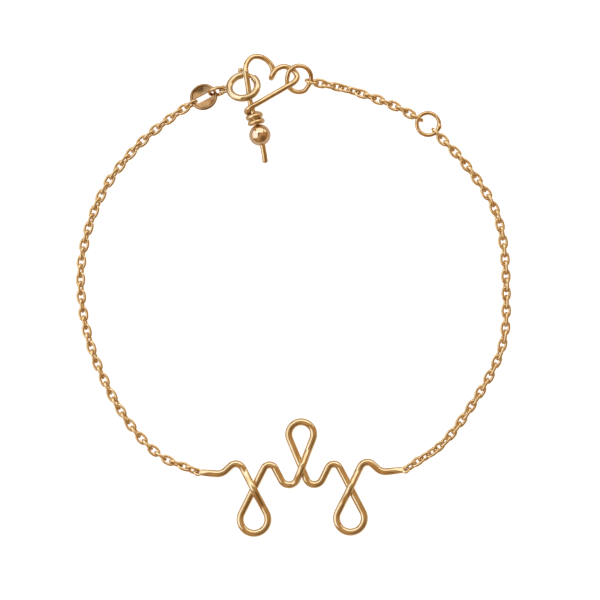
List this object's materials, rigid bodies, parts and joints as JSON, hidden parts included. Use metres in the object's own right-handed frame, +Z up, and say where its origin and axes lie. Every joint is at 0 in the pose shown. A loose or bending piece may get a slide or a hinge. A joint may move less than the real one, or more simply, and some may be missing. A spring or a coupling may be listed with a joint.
{
  "type": "chain bracelet",
  "caption": "Fine cable chain bracelet with a bent wire ornament, a wire heart with a bead, a spring ring clasp, a slotted tag and an adjusting ring.",
  "frame": {"origin": "middle of the bracelet's loop, on the surface that it lies on", "axes": "+Z up from the surface, +Y from the wire ornament towards the clasp, +X to the right seen from above with the ornament nearest the viewer"},
  "size_m": [0.061, 0.0677, 0.0035],
  "materials": {
    "ornament_wire": "polished gold-filled wire",
    "chain": "polished gold-filled cable links",
    "rings": "polished gold-filled ring wire",
    "heart_wire": "polished gold-filled wire",
    "bead": "mirror-polished gold",
    "clasp": "polished gold, a little greener than the chain",
    "lever": "polished gold",
    "tag": "brushed gold with a polished rim"
  },
  "bodies": {
    "bracelet": {"scroll_wire": "ornament_wire", "chain_left": "chain", "chain_right": "chain", "chain_extension": "chain", "adjuster_ring": "rings", "jump_ring": "rings", "heart_wire": "heart_wire", "bead": "bead", "spring_ring": "clasp", "clasp_link": "rings", "tag_disc": "tag"},
    "lever": {"spring_lever": "lever"}
  },
  "joints": [
    {"name": "lever_slide", "type": "hinge", "parent": "bracelet", "child": "lever", "pos_m": [-0.00722, 0.0287, 0.00195], "axis": [-0.141, 0.5261, 0.8387], "range_deg": [0, 45], "stiffness_Nm_per_rad": 0.002}
  ]
}
